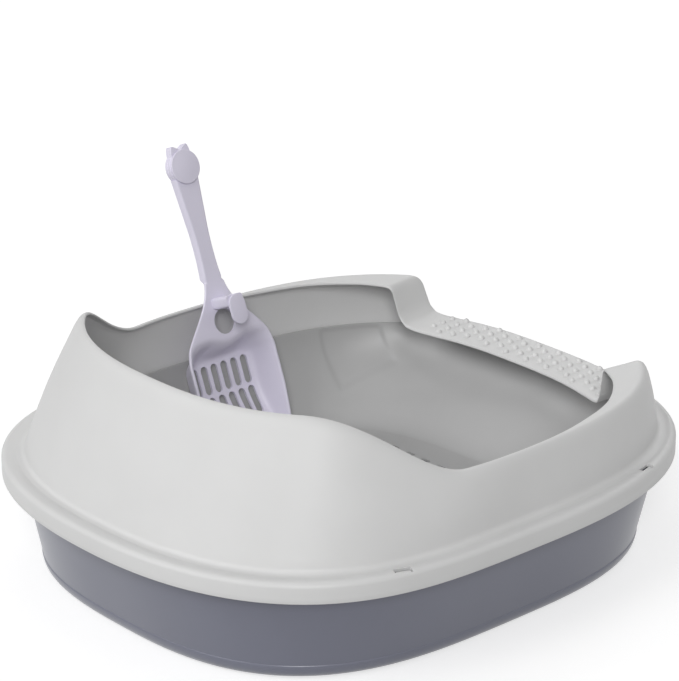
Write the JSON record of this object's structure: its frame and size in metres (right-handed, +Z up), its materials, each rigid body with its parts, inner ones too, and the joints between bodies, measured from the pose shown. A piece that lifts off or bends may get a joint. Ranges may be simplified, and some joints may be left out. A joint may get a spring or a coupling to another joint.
{
  "type": "sifting litter box",
  "caption": "Sifting cat litter box with a base pan, a slotted sieve pan, a lift-off rim shield with a low entry and a high back, and a slotted scoop.",
  "frame": {"origin": "centre of the base pan's footprint, on the floor plane", "axes": "+Z up, -Y towards the low entry, +Y towards the high back wall, +X towards the side that the scoop leans on"},
  "size_m": [0.5, 0.55, 0.2879],
  "materials": {
    "slate_pan": "satin, slightly translucent",
    "sieve_grey": "satin",
    "pale_grey": "satin",
    "scoop_lilac": "satin"
  },
  "bodies": {
    "base_pan": {"base_pan": "slate_pan"},
    "sieve_pan": {"sieve_pan": "sieve_grey"},
    "rim_shield": {"rim_shield": "pale_grey"},
    "scoop": {"scoop": "scoop_lilac"}
  },
  "joints": [
    {"name": "sieve_lift", "type": "slide", "parent": "base_pan", "child": "sieve_pan", "axis": [0, 0, 1], "range_m": [0, 0.15]},
    {"name": "shield_lift", "type": "slide", "parent": "sieve_pan", "child": "rim_shield", "axis": [0, 0, 1], "range_m": [0, 0.08]},
    {"name": "scoop_lift", "type": "slide", "parent": "rim_shield", "child": "scoop", "axis": [-0.1736, 0, 0.9848], "range_m": [0, 0.2]}
  ]
}
